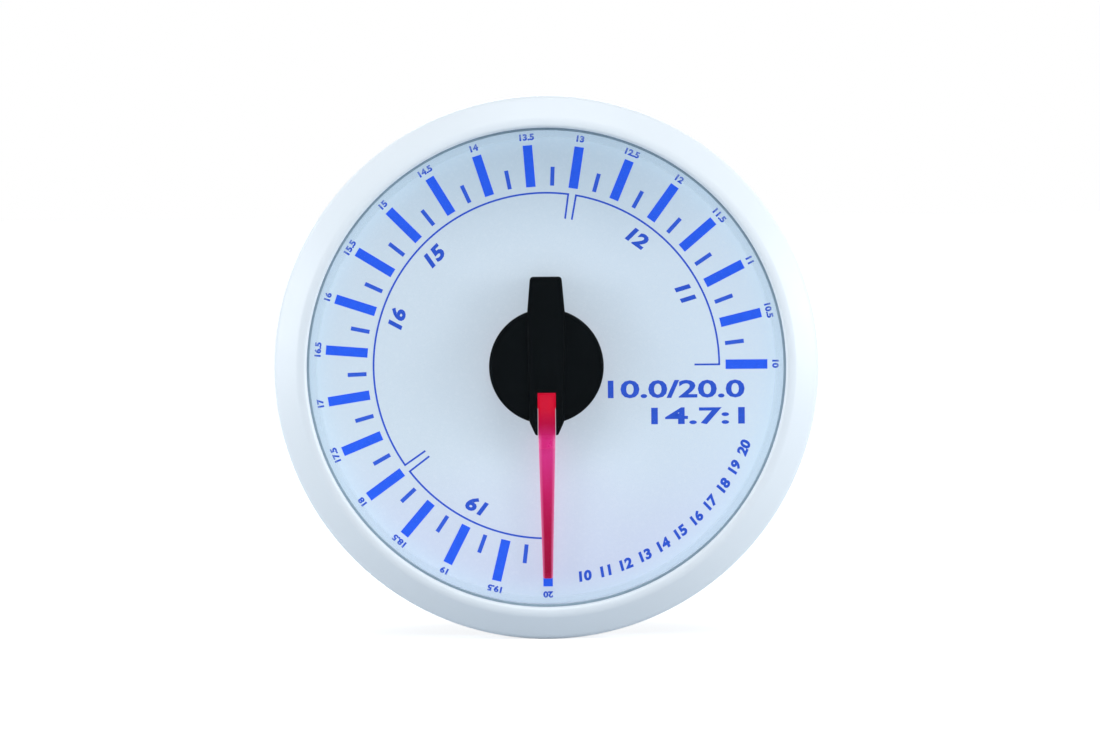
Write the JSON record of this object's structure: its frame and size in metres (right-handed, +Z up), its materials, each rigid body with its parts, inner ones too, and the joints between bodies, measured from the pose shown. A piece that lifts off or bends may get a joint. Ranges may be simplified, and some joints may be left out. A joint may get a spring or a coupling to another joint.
{
  "type": "air fuel ratio gauge",
  "caption": "Round dashboard gauge with a white bezel, pale dial and red pointer, driven through gears by a small stepper motor, fitted in a panel hole and held by studs.",
  "frame": {"origin": "on the gauge's axis, in the plane of the flange's rear face, which rests on the panel's front", "axes": "+Y runs back along the barrel through the panel, -Y looks out of the dial at the driver, +Z is up on the dial (12 o'clock), +X is to the right seen from the front"},
  "size_m": [0.06, 0.059, 0.06],
  "materials": {
    "bezel_white": "satin white moulding",
    "grey_foam": "matte grey foam",
    "clear_lens": "polished clear moulding",
    "inner_ring_white": "matte pale moulding",
    "dial_print": "printed translucent film, pale blue",
    "light_guide_clear": "polished clear moulding",
    "reflector_white": "matte white moulding",
    "pointer_red": "clear red moulding",
    "cap_black": "fine matte black moulding",
    "weight_brass": "turned brass",
    "steel_shaft": "ground steel",
    "gear_resin": "natural gear resin",
    "magnet": "dark sintered magnet",
    "motor_black": "matte black moulding",
    "stator_steel": "stamped sheet",
    "bobbin_resin": "natural moulding",
    "copper_wire": "enamelled copper wire",
    "tinned_pins": "tinned",
    "board_green": "green solder mask",
    "led_yellow": "clear resin",
    "led_red": "tinted resin",
    "chip_black": "moulded black",
    "can_steel": "drawn can",
    "zinc_screws": "zinc plated",
    "header_black": "moulded black",
    "gold_pins": "gold flash",
    "socket_natural": "natural moulding",
    "case_black": "fine textured black",
    "zinc_studs": "zinc plated, rolled thread"
  },
  "bodies": {
    "case": {"bezel": "bezel_white", "lens_gasket": "grey_foam", "lens": "clear_lens", "spacer_ring": "inner_ring_white", "dial": "dial_print", "light_guide": "light_guide_clear", "light_box": "reflector_white", "motor_front_case": "motor_black", "motor_rear_case": "motor_black", "wheel_axle": "steel_shaft", "rotor_axle": "steel_shaft", "stator_core": "stator_steel", "coil_bobbins": "bobbin_resin", "coil_windings": "copper_wire", "motor_terminals": "tinned_pins", "display_board": "board_green", "dial_leds": "led_yellow", "pointer_leds": "led_red", "led_resistors": "chip_black", "microcontroller": "chip_black", "crystal": "can_steel", "voltage_regulator": "chip_black", "board_screws": "zinc_screws", "connector_board": "board_green", "connector_board_screws": "zinc_screws", "smoothing_capacitors": "can_steel", "protection_diode": "chip_black", "link_header": "header_black", "link_pins": "gold_pins", "power_socket": "socket_natural", "power_socket_pins": "tinned_pins", "sensor_socket": "socket_natural", "sensor_socket_pins": "tinned_pins", "housing": "case_black", "back_cover": "case_black", "cover_screws": "zinc_screws", "mounting_studs": "zinc_studs"},
    "needle": {"pointer": "pointer_red", "pointer_cap": "cap_black", "balance_weight": "weight_brass", "pointer_shaft": "steel_shaft", "output_wheel": "gear_resin"},
    "intermediate": {"intermediate_wheel": "gear_resin"},
    "rotor": {"rotor_pinion": "gear_resin", "rotor_magnet": "magnet"}
  },
  "joints": [
    {"name": "needle_sweep", "type": "hinge", "parent": "case", "child": "needle", "pos_m": [0, 0, 0], "axis": [0, 1, 0], "range_deg": [0, 270]},
    {"name": "intermediate_spin", "type": "hinge", "parent": "case", "child": "intermediate", "pos_m": [0.00718, 0, -0.0073], "axis": [0, 1, 0], "range_deg": [-4050, 0]},
    {"name": "rotor_spin", "type": "hinge", "parent": "case", "child": "rotor", "pos_m": [0, 0, -0.0115], "axis": [0, 1, 0], "range_deg": [0, 48600]}
  ],
  "couplings": [
    {"joint": "intermediate_spin", "follows": "needle_sweep", "ratio": -15},
    {"joint": "rotor_spin", "follows": "needle_sweep", "ratio": 180}
  ]
}
